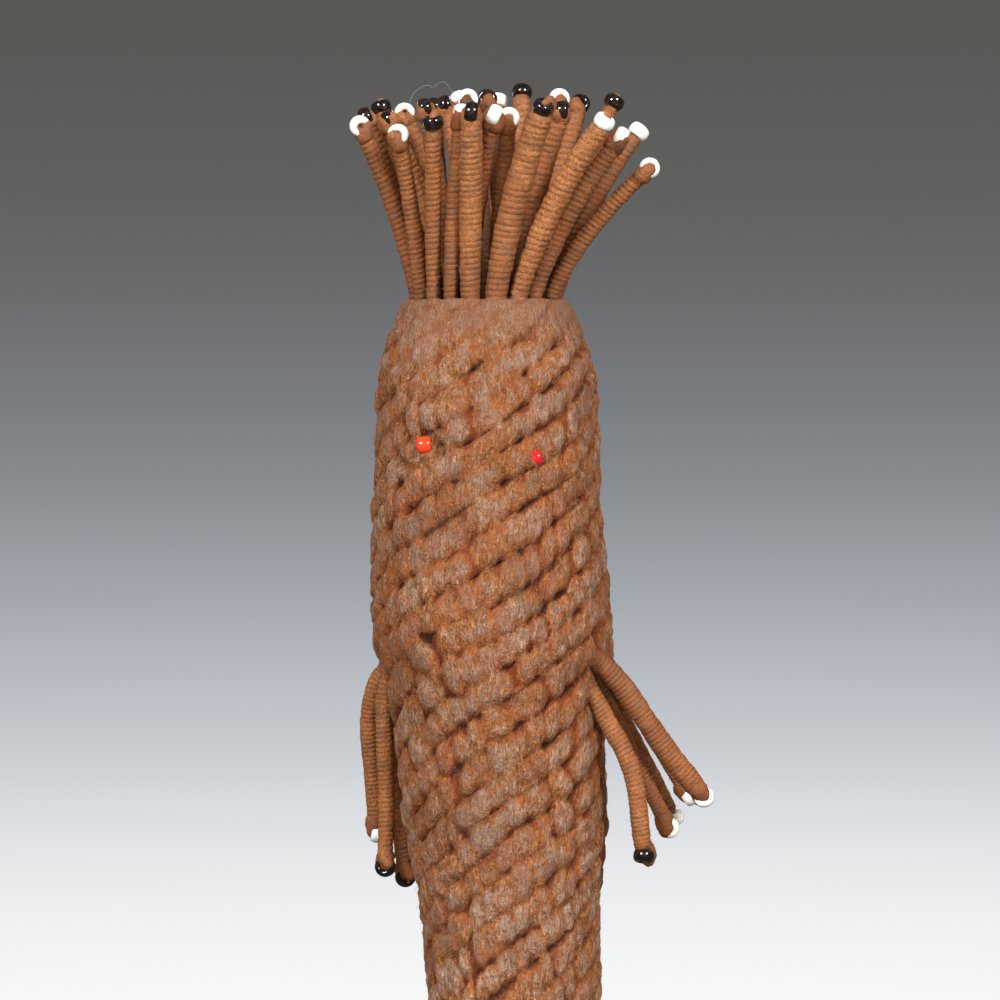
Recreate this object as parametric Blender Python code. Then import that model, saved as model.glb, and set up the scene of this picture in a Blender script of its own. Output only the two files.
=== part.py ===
"""A standing doll of knotted cord, with a flat head, hair and arms of thread-wrapped cords, and glass beads.

The face looks to -Y. Left and right are the viewer's, so +X is right. The origin is the middle of the underside.
"""

import math

import bmesh
import bpy
from mathutils import Vector

# Sizes in metres.
body_height = 0.2164
chest_radius = 0.0215
crown_radius = 0.0149
foot_radius = 0.0262
foot_edge = 0.0015
foot_thickness = 0.0060
foot_rings = 3
lean_to_left = 0.0053

knots_per_turn = 20
ridges = 12
ridge_spacing = 0.0061
crevice_depth = 0.0018
knot_notch = 0.0010

fine_cord_radius = 0.00150
plump_cord_radius = 0.00170
thick_cord_radius = 0.00205
widest_cord_radius = 0.00240
cord_root_share = 0.8
hair_length = 0.0374
hair_straight_root = 0.0008
hair_edge_margin = 0.0005
inner_hair_ring_share = 0.56
middle_hair_ring_share = 0.06
hair_bend_across = 0.3  # how much of a hair cord's lean it has taken up where it bends most
hair_bend_up = 0.5
arm_length = 0.0340
socket_depth = 0.0025
socket_swing_out = 0.5  # how much more an arm's socket points outwards than its cord

bead_radius = 0.0019
bead_half_length = 0.00117
eye_radius = 0.0016
eye_half_length = 0.0013
bead_overlap = 0.0005
fit_gap = 0.0003

# Height and radius of the body over its knots, as shares of body_height and chest_radius.
body_form = [
    (0.060, 0.880),
    (0.100, 0.745),
    (0.190, 0.690),
    (0.310, 0.69),
    (0.416, 0.725),
    (0.500, 0.772),
    (0.550, 0.840),
    (0.650, 0.902),
    (0.715, 1.000),
    (0.780, 0.986),
    (0.840, 0.949),
    (0.915, 0.930),
    (0.955, 0.862),
]
crown_round = (0.985, 1.085)  # share of body_height, and of crown_radius
lean_span = (0.345, 0.88)  # shares of body_height between which the axis moves over
smooth_top_share = 0.965  # from here up the knots are worn smooth
top_wear = 0.8  # how much of their relief is gone at the very top
plain_foot_share = 0.09  # from here down the foot is plain
first_knots_share = 0.15  # by here the knots stand out fully

# Hair: ring, degrees from the front towards the right, then how far the tip stands from the root (right, back, up),
# drawn with the tallest cord 37.4 high, then radius, bead colour and how the bead lies: its hole along the cord
# (flat), from left to right (side) or towards the front (ring).
hair_drawn_height = 37.4
hair = [
    ("outer", -88, -8.9, -6.5, 28.5, fine_cord_radius, "white", "ring"),
    ("outer", -68, -3.4, -8.2, 26.6, fine_cord_radius, "white", "ring"),
    ("outer", -48, 0.1, -8.4, 29.1, fine_cord_radius, "black", "flat"),
    ("outer", -30, 1.8, -6.1, 29.8, fine_cord_radius, "white", "side"),
    ("outer", -13, 0.3, -7.9, 30.0, thick_cord_radius, "black", "side"),
    ("outer", 8, 7.7, -7.7, 31.6, widest_cord_radius, "black", "flat"),
    ("outer", 27, 14.1, -7.5, 29.4, thick_cord_radius, "white", "flat"),
    ("outer", 43, 13.7, -3.8, 26.4, plump_cord_radius, "white", "side"),
    ("outer", 69, 15.5, -4.4, 21.4, fine_cord_radius, "white", "ring"),
    ("outer", 91, 13.9, 2.8, 28.8, fine_cord_radius, "white", "flat"),
    ("outer", 112, 10.8, 4.7, 34.4, fine_cord_radius, "black", "flat"),
    ("inner", -28, 4.3, -9.1, 29.9, fine_cord_radius, "white", "side"),
    ("inner", 12, 2.3, -5.0, 29.5, fine_cord_radius, "white", "ring"),
    ("inner", 52, 7.4, -6.6, 31.6, plump_cord_radius, "black", "side"),
    ("inner", 92, 5.6, -2.8, 34.2, fine_cord_radius, "white", "ring"),
    ("outer", 133, 7.4, 6.7, 34.4, plump_cord_radius, "black", "ring"),
    ("outer", 154, 0.9, 6.9, 37.4, plump_cord_radius, "black", "flat"),
    ("outer", 175, 0.9, 8.2, 35.9, fine_cord_radius, "white", "flat"),
    ("outer", -164, -1.4, 8.6, 36.2, fine_cord_radius, "white", "flat"),
    ("outer", -143, -2.0, 7.7, 33.9, fine_cord_radius, "black", "side"),
    ("outer", -123, -8.3, 2.5, 34.1, plump_cord_radius, "black", "flat"),
    ("outer", -105, -8.9, -1.3, 31.2, fine_cord_radius, "black", "side"),
    ("inner", 150, -3.3, 5.8, 35.0, fine_cord_radius, "black", "ring"),
    ("inner", -162, -5.0, 6.1, 34.0, fine_cord_radius, "black", "side"),
    ("inner", -128, -8.7, 0.1, 32.1, fine_cord_radius, "white", "ring"),
    ("inner", -97, -9.6, -3.9, 30.5, fine_cord_radius, "black", "side"),
    ("inner", -64, -4.3, -7.3, 32.0, fine_cord_radius, "black", "side"),
    ("middle", 180, -3.2, 0.2, 34.3, plump_cord_radius, "white", "ring"),
]
separate_hair_beads = 13

# Arms: side, degrees from the front, height as a share of body_height, radius, bead colour, how it lies, and the
# points that the cord passes after its root, from there (right, back, up), drawn with the longest cord 34 down.
arm_drawn_length = 34
arms = [
    ("right", 66, 0.704, thick_cord_radius, "white", "ring",
     [(5.2, 1.0, -5.4), (12.6, 2.4, -16.2), (18.5, 3.4, -23.7)]),
    ("right", 62, 0.680, plump_cord_radius, "black", "flat",
     [(3.4, -0.4, -6.0), (7.9, -1.6, -15.2), (9.8, -2.0, -28.6)]),
    ("right", 76, 0.680, fine_cord_radius, "white", "ring",
     [(3.4, 1.2, -6.0), (7.9, 2.6, -15.6), (12.2, 3.0, -24.1)]),
    ("right", 80, 0.704, fine_cord_radius, "white", "side",
     [(4.4, 2.0, -6.6), (9.8, 4.2, -15.2), (14.9, 5.4, -24.0)]),
    ("right", 90, 0.690, fine_cord_radius, "white", "flat",
     [(2.8, 2.2, -6.2), (8.0, 4.8, -16.4), (12.8, 5.8, -25.9)]),
    ("left", -97, 0.693, plump_cord_radius, "white", "side",
     [(-2.6, 0.8, -3.4), (-3.9, 2.6, -10.6), (-3.3, 4.8, -19.6), (-2.7, 6.4, -28.8)]),
    ("left", -86, 0.688, fine_cord_radius, "black", "ring",
     [(-1.2, 0.0, -4.0), (-1.2, 0.8, -12.6), (-0.9, 2.4, -22.0), (-1.0, 2.0, -32.9)]),
    ("left", -97, 0.668, fine_cord_radius, "black", "ring",
     [(-0.8, 1.2, -5.6), (-0.4, 2.0, -16.6), (1.1, 2.6, -31.0)]),
]

# Eyes: name, degrees from the front, height as a share of body_height, how deep the bead is sunk, and colour.
eyes = [
    ("left_eye_bead", -33.8, 0.8795, 0.0006, "orange_red"),
    ("right_eye_bead", 26.6, 0.869, 0.0012, "crimson"),
]

outline_steps = 12
hair_segments = 3
root_swell_points = 2  # a hair cord is at its full radius this many points up
arm_segments = 6
edge_snap_share = 0.3  # of a lattice row: points nearer than this to an edge ring join it

for leftover in list(bpy.data.objects):
    bpy.data.objects.remove(leftover, do_unlink=True)
part_collection = bpy.data.collections.new("knotted_doll")
cutter_collection = bpy.data.collections.new("cutters")
for collection in (part_collection, cutter_collection):
    bpy.context.scene.collection.children.link(collection)
doll = bpy.data.objects.new("doll", None)
part_collection.objects.link(doll)


def material(name, colour, roughness, metallic=0.0):
    made = bpy.data.materials.new(name)
    made.use_nodes = True
    shader = made.node_tree.nodes["Principled BSDF"]
    shader.inputs["Base Color"].default_value = (*colour, 1.0)
    shader.inputs["Roughness"].default_value = roughness
    shader.inputs["Metallic"].default_value = metallic
    made.diffuse_color = (*colour, 1.0)
    return made


def add_part(name, mesh, finish, place=(0, 0, 0)):
    mesh.name = name
    mesh.materials.clear()
    mesh.materials.append(finish)
    mesh.shade_smooth()
    mesh.set_sharp_from_angle(angle=math.radians(40))
    piece = bpy.data.objects.new(name, mesh)
    piece.location = place
    piece.parent = doll
    part_collection.objects.link(piece)
    return piece


def add_cutter(name, mesh, place=(0, 0, 0)):
    cutter = bpy.data.objects.new(name, mesh)
    cutter.location = place
    cutter.hide_render = True
    cutter.display_type = "WIRE"
    cutter.parent = doll
    cutter_collection.objects.link(cutter)
    return cutter


def boolean(piece, other, operation):
    step = piece.modifiers.new(f"{operation.lower()} {other.name}", "BOOLEAN")
    step.operation = operation
    step.object = other


def spline_point(a, b, c, d, t):
    """A point on the Catmull-Rom curve from b to c."""
    return 0.5 * (2 * b + (c - a) * t + (2 * a - 5 * b + 4 * c - d) * t**2 + (3 * b - a - 3 * c + d) * t**3)


def smooth_route(points, steps):
    ends = [2 * points[0] - points[1], *points, 2 * points[-1] - points[-2]]
    route = [
        spline_point(*ends[i:i + 4], step / steps)
        for i in range(len(points) - 1)
        for step in range(steps)
    ]
    return route + [points[-1]]


def spaced(route, count):
    """The route as count equal stretches."""
    lengths = [0.0]
    for a, b in zip(route, route[1:]):
        lengths.append(lengths[-1] + (b - a).length)
    return [at_length(route, lengths, lengths[-1] * i / count) for i in range(count + 1)]


def at_length(route, lengths, length):
    i = 1
    while i < len(route) - 1 and lengths[i] < length:
        i += 1
    share = (length - lengths[i - 1]) / (lengths[i] - lengths[i - 1])
    return route[i - 1].lerp(route[i], min(max(share, 0.0), 1.0))


def body_outline():
    """Radius and height of the body from the edge of its underside to the edge of its flat top."""
    stations = [(foot_radius - foot_edge, 0.0), (foot_radius, foot_edge), (foot_radius, foot_thickness)]
    stations += [(radius * chest_radius, share * body_height) for share, radius in body_form]
    stations += [(crown_round[1] * crown_radius, crown_round[0] * body_height), (crown_radius, body_height)]
    return smooth_route([Vector(station) for station in stations], outline_steps)


def ease(t):
    t = min(max(t, 0.0), 1.0)
    return t * t * (3 - 2 * t)


def axis_x(height):
    start, end = lean_span
    return -lean_to_left * ease((height / body_height - start) / (end - start))


def surface_radius(height):
    """The body's radius over its knots at a height."""
    for below, above in zip(outline, outline[1:]):
        if below.y <= height <= above.y:
            return below.lerp(above, (height - below.y) / max(above.y - below.y, 1e-9)).x
    return outline[-1].x


def around(degrees, radius, height):
    """A point at a bearing from the front, on the leaning axis's own circle."""
    bearing = math.radians(degrees)
    return Vector((axis_x(height) + radius * math.sin(bearing), -radius * math.cos(bearing), height))


def knot_fall(column, row, height):
    """How far a lattice point lies under the tops of the knots."""
    share = height / body_height
    worn = top_wear * ease((share - smooth_top_share) / (1 - smooth_top_share))
    grown = ease((share - plain_foot_share) / (first_knots_share - plain_foot_share))
    fall = (crevice_depth if row % 2 else 0.0) + (knot_notch if column % 2 else 0.0)
    return fall * (1 - worn) * grown


def body_mesh():
    """A plain foot, then a lattice of knots, four points to a knot, in ridges that climb to the right."""
    lengths = [0.0]
    for a, b in zip(outline, outline[1:]):
        lengths.append(lengths[-1] + (b - a).length)
    total = lengths[-1]
    plain = next(length for length, at in zip(lengths, outline) if at.y >= plain_foot_share * body_height)
    edge_length, rim_length = lengths[outline_steps], lengths[2 * outline_steps]
    columns = 2 * knots_per_turn
    row_step = ridge_spacing / 2
    climb = ridges * ridge_spacing / columns
    edge_snap = edge_snap_share * row_step
    shell = bmesh.new()

    def place(column, length, fall=0.0):
        at = at_length(outline, lengths, length)
        before = at_length(outline, lengths, max(length - edge_snap, 0.0))
        after = at_length(outline, lengths, min(length + edge_snap, total))
        along = (after - before).normalized()
        radius = at.x - fall * along.y
        height = at.y + fall * along.x
        bearing = 2 * math.pi * column / columns - math.pi / 2
        return shell.verts.new(
            (axis_x(height) + radius * math.cos(bearing), radius * math.sin(bearing), height)
        )

    flare = [rim_length + (plain - rim_length) * (ring + 1) / foot_rings for ring in range(foot_rings)]
    rings = [
        [place(column, length) for column in range(columns)]
        for length in (0.0, edge_length, rim_length, *flare)
    ]
    top = [place(column, total) for column in range(columns)]
    lattice = {}

    def corner(column, row):
        if column == columns:
            column, row = 0, row + 2 * ridges
        length = row * row_step + column * climb
        if length < plain + edge_snap:
            return rings[-1][column]
        if length > total - edge_snap:
            return top[column]
        if (column, row) not in lattice:
            height = at_length(outline, lengths, length).y
            lattice[column, row] = place(column, length, knot_fall(column, row, height))
        return lattice[column, row]

    def add_face(*points):
        points = list(dict.fromkeys(points))
        if len(points) > 2:
            shell.faces.new(points)

    for below, above in zip(rings, rings[1:]):
        for column in range(columns):
            after = (column + 1) % columns
            add_face(below[column], below[after], above[after], above[column])
    for column in range(columns):
        for row in range(-2 * ridges - 1, int(total / row_step) + 1):
            a, b = corner(column, row), corner(column + 1, row)
            c, d = corner(column + 1, row + 1), corner(column, row + 1)
            if column % 2 == row % 2:
                add_face(a, b, c)
                add_face(a, c, d)
            else:
                add_face(a, b, d)
                add_face(b, c, d)
    shell.faces.new(top)
    shell.faces.new(reversed(rings[0]))
    mesh = bpy.data.meshes.new("body")
    shell.to_mesh(mesh)
    shell.free()
    return mesh


def tube_mesh(name, points, radii):
    """A tube along the points, made as a curve and welded into a mesh."""
    curve = bpy.data.curves.new(name, "CURVE")
    curve.dimensions = "3D"
    curve.bevel_depth = 1.0
    curve.bevel_resolution = 1
    curve.use_fill_caps = True
    spline = curve.splines.new("POLY")
    spline.points.add(len(points) - 1)
    for knot, place, radius in zip(spline.points, points, radii):
        knot.co = (*place, 1.0)
        knot.radius = radius
    guide = bpy.data.objects.new(name, curve)
    part_collection.objects.link(guide)
    graph = bpy.context.evaluated_depsgraph_get()
    mesh = bpy.data.meshes.new_from_object(guide.evaluated_get(graph))
    bpy.data.objects.remove(guide, do_unlink=True)
    work = bmesh.new()
    work.from_mesh(mesh)
    bmesh.ops.remove_doubles(work, verts=work.verts, dist=1e-6)
    bmesh.ops.recalc_face_normals(work, faces=work.faces)
    work.to_mesh(mesh)
    work.free()
    return mesh


def bead_mesh(name, radius, half_length):
    """A low-sided seed bead, widest along two rings, its hole along Z."""
    work = bmesh.new()
    bmesh.ops.create_uvsphere(work, u_segments=8, v_segments=3, radius=1.0)
    wide = radius / math.sin(math.radians(60))
    bmesh.ops.scale(work, vec=(wide, wide, half_length), verts=work.verts)
    mesh = bpy.data.meshes.new(name)
    work.to_mesh(mesh)
    work.free()
    return mesh


def hole_direction(lies, along):
    if lies == "flat":
        return along
    across = Vector((1, 0, 0)) if lies == "side" else Vector((0, -1, 0))
    return (across - along * across.dot(along)).normalized()


def bead_reach(along, hole):
    """How far a bead's middle stands from what it touches in the direction of along."""
    share = along.dot(hole)
    return math.sqrt((bead_half_length * share) ** 2 + bead_radius**2 * (1 - share**2))


def lay_bead(piece, hole):
    piece.rotation_mode = "QUATERNION"
    piece.rotation_quaternion = Vector((0, 0, 1)).rotation_difference(hole)


def add_tip_bead(name, cord, tip, along, colour, lies, separate):
    """A bead on the end of a cord: its own piece, or fused to the cord where separate is false."""
    hole = hole_direction(lies, along)
    reach = bead_reach(along, hole)
    mesh = bead_mesh(name, bead_radius, bead_half_length)
    if separate:
        bead = add_part(name, mesh, finishes[colour], tip + along * (reach + fit_gap))
    else:
        bead = add_cutter(name, mesh, tip + along * (reach - bead_overlap))
        boolean(cord, bead, "UNION")
    lay_bead(bead, hole)


def hair_root(ring, degrees):
    outer = crown_radius - plump_cord_radius - hair_edge_margin
    share = {"outer": 1.0, "inner": inner_hair_ring_share, "middle": middle_hair_ring_share}[ring]
    return around(degrees, outer * share, body_height)


def add_hair():
    for i, (ring, degrees, right, back, up, radius, colour, lies) in enumerate(hair):
        root = hair_root(ring, degrees)
        start = Vector((0, 0, fit_gap))
        rise = start + Vector((0, 0, hair_straight_root))
        lean = Vector((right, back, up)) * hair_length / hair_drawn_height
        bend = rise + Vector((hair_bend_across * lean.x, hair_bend_across * lean.y, hair_bend_up * lean.z))
        route = [start]
        for step in range(hair_segments + 1):
            t = step / hair_segments
            route.append(rise.lerp(bend, t).lerp(bend.lerp(lean, t), t))
        swell = (1 - cord_root_share) / root_swell_points
        radii = [radius * min(cord_root_share + swell * step, 1) for step in range(len(route))]
        name = f"hair_cord_{i + 1:02d}"
        cord = add_part(name, tube_mesh(name, route, radii), finishes["cord"], root)
        along = (route[-1] - route[-2]).normalized()
        bead_name = f"hair_bead_{i + 1:02d}"
        add_tip_bead(bead_name, cord, root + route[-1], along, colour, lies, i < separate_hair_beads)


def add_arms(body):
    count = {"right": 0, "left": 0}
    for side, degrees, share, radius, colour, lies, stops in arms:
        count[side] += 1
        height = share * body_height
        root = around(degrees, surface_radius(height) - crevice_depth, height)
        points = [Vector(stop) * arm_length / arm_drawn_length for stop in stops]
        swing = Vector((points[0].x, points[0].y, 0)) * socket_swing_out
        outward = (points[0] + swing).normalized()
        start = -socket_depth * outward
        route = spaced(smooth_route([start, Vector((0, 0, 0)), *points], outline_steps), arm_segments)
        name = f"{side}_arm_cord_{count[side]}"
        cord = add_part(name, tube_mesh(name, route, [radius] * len(route)), finishes["cord"], root)
        back_end = (route[0] - route[1]).normalized() * fit_gap
        socket_route = [route[0] + back_end, *route]
        socket_mesh = tube_mesh(f"{name}_socket", socket_route, [radius + fit_gap] * len(socket_route))
        boolean(body, add_cutter(f"{name}_socket", socket_mesh, root), "DIFFERENCE")
        along = (route[-1] - route[-2]).normalized()
        add_tip_bead(f"{side}_arm_bead_{count[side]}", cord, root + route[-1], along, colour, lies, True)


def add_eyes(body):
    for name, degrees, share, sunk, colour in eyes:
        height = share * body_height
        place = around(degrees, surface_radius(height) - sunk, height)
        across = Vector((math.cos(math.radians(degrees)), math.sin(math.radians(degrees)), 0))
        eye = add_part(name, bead_mesh(name, eye_radius, eye_half_length), finishes[colour], place)
        lay_bead(eye, across)
        seat_mesh = bead_mesh(name, eye_radius + fit_gap, eye_half_length + fit_gap)
        seat = add_cutter(f"{name}_seat", seat_mesh, place)
        lay_bead(seat, across)
        boolean(body, seat, "DIFFERENCE")


finishes = {
    "knots": material("ochred_knots", (0.30, 0.13, 0.07), 0.85),
    "cord": material("wrapped_cord", (0.33, 0.14, 0.06), 0.75),
    "white": material("white_glass", (0.82, 0.80, 0.74), 0.15),
    "black": material("black_glass", (0.01, 0.01, 0.01), 0.12),
    "orange_red": material("orange_red_glass", (0.65, 0.06, 0.01), 0.2),
    "crimson": material("crimson_glass", (0.55, 0.01, 0.01), 0.2),
}
outline = body_outline()
doll_body = add_part("body", body_mesh(), finishes["knots"])
add_arms(doll_body)
add_eyes(doll_body)
add_hair()
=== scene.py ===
import math

import bpy
import numpy as np
from mathutils import Matrix, Vector, noise
from mathutils.bvhtree import BVHTree


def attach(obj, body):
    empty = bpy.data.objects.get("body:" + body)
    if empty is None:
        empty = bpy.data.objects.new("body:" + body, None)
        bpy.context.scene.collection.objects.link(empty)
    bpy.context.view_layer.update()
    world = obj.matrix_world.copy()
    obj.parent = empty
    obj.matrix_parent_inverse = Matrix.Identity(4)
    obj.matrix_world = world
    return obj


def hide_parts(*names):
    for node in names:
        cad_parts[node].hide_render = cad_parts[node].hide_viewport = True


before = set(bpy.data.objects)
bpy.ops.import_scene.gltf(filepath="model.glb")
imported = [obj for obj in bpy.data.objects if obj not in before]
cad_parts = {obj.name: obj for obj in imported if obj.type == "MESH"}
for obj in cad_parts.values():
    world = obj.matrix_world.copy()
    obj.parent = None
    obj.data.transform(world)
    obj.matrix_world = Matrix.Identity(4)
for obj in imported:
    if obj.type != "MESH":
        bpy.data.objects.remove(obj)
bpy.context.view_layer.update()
millimetre = 0.001


class Wire:  # a socket in shader maths: + - * / ** and the named ones add Math nodes
    def __init__(self, finish, socket):
        self.finish = finish
        self.socket = socket

    def maths(self, operation, *others):
        values = dict(enumerate([self, *others]))
        return self.finish.node("ShaderNodeMath", {"operation": operation}, values)[0]

    def __add__(self, other):
        return self.maths("ADD", other)

    def __mul__(self, other):
        return self.maths("MULTIPLY", other)

    def __sub__(self, other):
        return self.maths("SUBTRACT", other)

    def __rsub__(self, other):
        return (self * -1) + other

    def __pow__(self, other):
        return self.maths("POWER", other)

    __radd__ = __add__
    __rmul__ = __mul__

    def clamped(self):
        return self.maths("MAXIMUM", 0.0).maths("MINIMUM", 1.0)

    def between(self, low, high):  # 0 below low, 1 above high
        return ((self - low) * (1 / (high - low))).clamped()


class Finish:  # one material and its nodes
    def __init__(self, name):
        self.material = bpy.data.materials.new(name)
        self.material.use_nodes = True
        self.tree = self.material.node_tree
        self.shader = self.tree.nodes["Principled BSDF"]

    def node(self, kind, settings=None, values=None):
        made = self.tree.nodes.new(kind)
        for key, value in (settings or {}).items():
            if key == "stops":
                ramp = made.color_ramp.elements
                for extra in value[2:]:
                    ramp.new(extra[0])
                for stop, (place, tint) in zip(ramp, value):
                    stop.position = place
                    stop.color = tint
            else:
                setattr(made, key, value)
        for key, value in (values or {}).items():
            self.feed(made.inputs[key], value)
        return [Wire(self, socket) for socket in made.outputs if socket.enabled]

    def feed(self, socket, value):
        if isinstance(value, Wire):
            self.tree.links.new(value.socket, socket)
        else:
            socket.default_value = value

    def shade(self, **values):
        for key, value in values.items():
            self.feed(self.shader.inputs[key.replace("_", " ")], value)
        return self.material

    def here(self):  # Object coordinates, in metres
        return self.node("ShaderNodeTexCoord")[3]

    def axes(self):
        return self.node("ShaderNodeSeparateXYZ", {}, {"Vector": self.here()})

    def clouds(self, size, detail=3.0, roughness=0.55, stretch=(1, 1, 1), turn=(0, 0, 0), curl=0.0):
        scale = [share / (size * millimetre) for share in stretch]  # size is in millimetres
        placed = {"Vector": self.here(), "Scale": scale, "Rotation": turn}
        where = self.node("ShaderNodeMapping", {}, placed)[0]
        values = {"Vector": where, "Scale": 1.0, "Detail": detail, "Roughness": roughness,
                  "Distortion": curl}
        return self.node("ShaderNodeTexNoise", {}, values)[0]

    def own(self, name):  # a value stored on the piece's own points
        return self.node("ShaderNodeAttribute", {"attribute_name": name})[2]

    def mix(self, share, first, second):  # two colours
        return self.node("ShaderNodeMix", {"data_type": "RGBA"}, {0: share, 6: first, 7: second})[0]

    def layered(self, base, *layers):  # each layer is a mask and its colour, over what is below
        for share, tint in layers:
            base = self.mix(share, base, tint)
        return base

    def bump(self, height, distance, strength):
        values = {"Height": height, "Distance": distance, "Strength": strength}
        return self.node("ShaderNodeBump", {}, values)[0]


def colour(*seen):  # red, green and blue as a screen shows them, 0 to 255
    return (*[((c / 255 + 0.055) / 1.055) ** 2.4 if c > 10 else c / 255 / 12.92 for c in seen], 1.0)


def only(piece):
    bpy.ops.object.select_all(action="DESELECT")
    bpy.context.view_layer.objects.active = piece
    piece.select_set(True)


def startEdit(piece, action="SELECT"):  # edit mode, with all of the piece selected or none of it
    only(piece)
    bpy.ops.object.mode_set(mode="EDIT")
    bpy.ops.mesh.select_all(action=action)


def endEdit():
    bpy.ops.object.mode_set(mode="OBJECT")


def editOnly(piece, chosen):  # edit mode, with only these points selected
    startEdit(piece, "DESELECT")
    endEdit()
    piece.data.vertices.foreach_set("select", chosen)
    bpy.ops.object.mode_set(mode="EDIT")


def applyModifiers(piece):
    only(piece)
    for modifier in list(piece.modifiers):
        bpy.ops.object.modifier_apply(modifier=modifier.name)


def points(piece):
    found = np.empty(len(piece.data.vertices) * 3)
    piece.data.vertices.foreach_get("co", found)
    return found.reshape(-1, 3)


def setPoints(piece, places):
    piece.data.vertices.foreach_set("co", np.asarray(places, dtype=np.float32).ravel())
    piece.data.update()


def store(piece, **marks):  # each is one value for each point, or one for all
    for name, values in marks.items():
        kept = piece.data.attributes.get(name) or piece.data.attributes.new(name, "FLOAT", "POINT")
        kept.data.foreach_set("value", np.full(len(piece.data.vertices), values, dtype=np.float32))


def stored(piece, name):
    found = np.empty(len(piece.data.vertices), dtype=np.float32)
    piece.data.attributes[name].data.foreach_get("value", found)
    return found


def tidyMesh(piece, closeness=1e-6):  # no doubles, normals outwards
    startEdit(piece)
    bpy.ops.mesh.remove_doubles(threshold=closeness)
    bpy.ops.mesh.normals_make_consistent(inside=False)
    endEdit()
    bpy.ops.object.shade_smooth()


def addObject(name, data):
    made = bpy.data.objects.new(name, data)
    bpy.context.collection.objects.link(made)
    return made


def lineMesh(name, places):
    mesh = bpy.data.meshes.new(name)
    mesh.from_pydata([tuple(place) for place in places], [(i, i + 1) for i in range(len(places) - 1)], [])
    return addObject(name, mesh)


def wind(line, turns, steps, pitch, closeness=1e-5):  # a line wound up Z, each turn meeting the next
    screw = line.modifiers.new("wind", "SCREW")
    screw.axis = "Z"
    screw.angle = 2 * math.pi
    screw.screw_offset = pitch
    screw.iterations = turns
    screw.steps = steps
    screw.render_steps = steps
    screw.use_merge_vertices = True
    screw.merge_threshold = closeness
    applyModifiers(line)
    return line


def copyOf(piece, name):
    data = piece.data.copy()
    data.name = name
    return addObject(name, data)


def finishPiece(piece, material, slot, *nodes):
    piece.data.materials.clear()
    piece.data.materials.append(material)
    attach(piece, "root")
    if nodes:
        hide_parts(*nodes)


def ease(t):
    t = np.clip(t, 0.0, 1.0)
    return t * t * (3 - 2 * t)


# The body's form, as in the solid: height and radius in metres over the knots.
body = {
    "height": 0.2164, "chest": 0.0215, "crown": 0.0149, "foot": 0.0262,
    "footEdge": 0.0015, "footThickness": 0.0060, "lean": 0.0053, "leanSpan": (0.345, 0.88),
    "form": [
        (0.060, 0.880), (0.100, 0.745), (0.190, 0.690), (0.310, 0.69), (0.416, 0.725), (0.500, 0.772),
        (0.550, 0.840), (0.650, 0.902), (0.715, 1.000), (0.780, 0.986), (0.840, 0.949), (0.915, 0.930),
        (0.955, 0.862),
    ],
    "crownRound": (0.985, 1.085), "outlineSteps": 40, "slopeStep": 0.0009,
}


def smoothRoute(places, steps):
    ends = [2 * places[0] - places[1], *places, 2 * places[-1] - places[-2]]
    route = []
    for a, b, c, d in zip(ends, ends[1:], ends[2:], ends[3:]):
        for step in range(steps):
            t = step / steps
            route.append(0.5 * (2 * b + (c - a) * t + (2 * a - 5 * b + 4 * c - d) * t**2
                                + (3 * b - a - 3 * c + d) * t**3))
    return route + [places[-1]]


def bodyOutline():
    stations = [(body["foot"] - body["footEdge"], 0.0), (body["foot"], body["footEdge"])]
    stations += [(body["foot"], body["footThickness"])]
    stations += [(radius * body["chest"], share * body["height"]) for share, radius in body["form"]]
    share, radius = body["crownRound"]
    stations += [(radius * body["crown"], share * body["height"]), (body["crown"], body["height"])]
    return np.array(smoothRoute([np.array(station) for station in stations], body["outlineSteps"]))


outline = bodyOutline()
outlineLength = np.concatenate([[0.0], np.cumsum(np.linalg.norm(np.diff(outline, axis=0), axis=1))])
fullLength = outlineLength[-1]


def lengthAt(height):
    return float(np.interp(height, outline[:, 1], outlineLength))


def axisX(height):
    start, end = body["leanSpan"]
    return -body["lean"] * ease((height / body["height"] - start) / (end - start))


def profile(length):  # the outline's radius and height, that far up it
    return [np.interp(length, outlineLength, outline[:, i]) for i in (0, 1)]


def radiusAt(height):
    return float(np.interp(height, outline[:, 1], outline[:, 0]))


def onBody(turn, length, fall):  # turn in radians from +X, length up the outline, fall below the knots' tops
    radius, height = profile(length)
    below, above = profile(length - body["slopeStep"]), profile(length + body["slopeStep"])
    radiusRise, heightRise = above[0] - below[0], above[1] - below[1]
    size = np.hypot(radiusRise, heightRise)
    radius = radius - fall * heightRise / size
    height = height + fall * radiusRise / size
    return np.stack([axisX(height) + radius * np.cos(turn), radius * np.sin(turn), height], axis=-1)


def around(degrees, radius, height):  # degrees from the front towards the right
    bearing = math.radians(degrees)
    return Vector((float(axisX(height)) + radius * math.sin(bearing), -radius * math.cos(bearing), height))


# The camera stands level with the head, and the view ends below the arms as in the photograph.
camera = {
    "pixel": 0.00018, "middle": (500, 500), "originPixel": (516, 1500.5),
    "elevation": 2.0, "lens": 150.0, "sensor": 36.0, "frame": 1000, "clip": (0.05, 30),
}


def makeCamera():
    made = bpy.data.cameras.new("camera")
    made.lens = camera["lens"]
    made.sensor_width = camera["sensor"]
    made.clip_start, made.clip_end = camera["clip"]
    eye = addObject("camera", made)
    across = (camera["middle"][0] - camera["originPixel"][0]) * camera["pixel"]
    up = (camera["originPixel"][1] - camera["middle"][1]) * camera["pixel"]
    distance = camera["frame"] * camera["pixel"] * camera["lens"] / camera["sensor"]
    tilt = math.radians(camera["elevation"])
    eye.location = (across, -distance * math.cos(tilt), up + distance * math.sin(tilt))
    eye.rotation_euler = (math.pi / 2 - tilt, 0, 0)
    bpy.context.scene.camera = eye


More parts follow.
